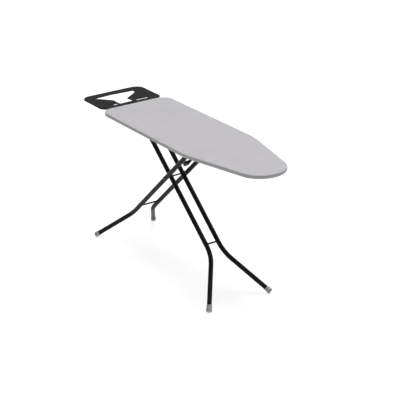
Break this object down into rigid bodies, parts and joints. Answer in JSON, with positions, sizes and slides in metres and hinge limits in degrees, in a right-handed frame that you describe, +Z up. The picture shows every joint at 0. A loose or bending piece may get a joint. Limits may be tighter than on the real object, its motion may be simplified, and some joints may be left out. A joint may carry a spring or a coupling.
{
  "type": "ironing board",
  "caption": "Folding ironing board with a padded grey cloth top, crossed black tubular legs, a release lever and a pressed steel iron rest at the square end.",
  "frame": {"origin": "on the floor under the middle of the whole object, from the iron rest's back edge to the tip of the nose", "axes": "+X along the board towards the rounded nose, +Y to the left, +Z up"},
  "size_m": [1.44, 0.37, 0.724],
  "materials": {
    "cover_cloth": "plain-weave cotton with a metallised sheen, pale grey",
    "felt": "needled felt",
    "elastic": "ribbed elastic",
    "galvanised_steel": "galvanised",
    "black_steel": "satin black powder coat",
    "rest_paint": "matt black powder coat",
    "zinc_hardware": "zinc plated",
    "dark_hardware": "black oxide",
    "black_plastic": "moulded, lightly textured",
    "grey_plastic": "moulded, satin",
    "nylon": "natural nylon",
    "spring_steel": "drawn wire"
  },
  "bodies": {
    "board": {"cover": "cover_cloth", "felt_pad": "felt", "mesh_deck": "galvanised_steel", "perimeter_rim": "galvanised_steel", "hem_elastic": "elastic", "cross_rib_rear": "galvanised_steel", "cross_rib_middle": "galvanised_steel", "cross_rib_front": "galvanised_steel", "cross_rib_nose": "galvanised_steel", "hinge_bracket": "black_steel", "guide_rail_left": "black_steel", "guide_rail_right": "black_steel", "height_rack": "galvanised_steel", "deck_rivets": "zinc_hardware", "rest_plate": "rest_paint", "rest_bracket_left": "black_steel", "rest_bracket_right": "black_steel", "rest_screws": "dark_hardware", "hinge_axle": "zinc_hardware", "hinge_caps": "black_plastic"},
    "front_legs": {"front_tube_left": "black_steel", "front_tube_right": "black_steel", "front_crossbar": "black_steel", "front_tube_plugs": "black_plastic", "hinge_washers": "nylon", "front_foot_left": "grey_plastic", "front_foot_right": "grey_plastic"},
    "rear_legs": {"rear_tube_left": "black_steel", "rear_tube_right": "black_steel", "rear_crossbar": "black_steel", "rear_tube_plugs": "black_plastic", "pivot_axle": "dark_hardware", "pivot_nuts": "dark_hardware", "pivot_washers": "nylon", "slide_axle": "zinc_hardware", "glide_bushes": "nylon", "slide_caps": "black_plastic", "lever_sleeves": "dark_hardware", "rear_foot_left": "grey_plastic", "rear_foot_right": "grey_plastic", "lever_spring": "spring_steel"},
    "release_lever_body": {"release_lever": "black_steel", "lever_grip": "black_plastic"}
  },
  "joints": [
    {"name": "fold", "type": "hinge", "parent": "board", "child": "front_legs", "pos_m": [-0.358, 0, 0.686], "axis": [0, -1, 0], "range_deg": [-17.75, 36.25]},
    {"name": "scissor", "type": "hinge", "parent": "front_legs", "child": "rear_legs", "pos_m": [-0.0985, 0, 0.46632], "axis": [0, -1, 0], "range_deg": [-73, 36]},
    {"name": "release", "type": "hinge", "parent": "rear_legs", "child": "release_lever_body", "pos_m": [0.161, 0, 0.686], "axis": [0, -1, 0], "range_deg": [0, 12], "stiffness_Nm_per_rad": 1.5, "springref_deg": -34.38}
  ],
  "couplings": [
    {"joint": "scissor", "follows": "fold", "ratio": -2}
  ]
}
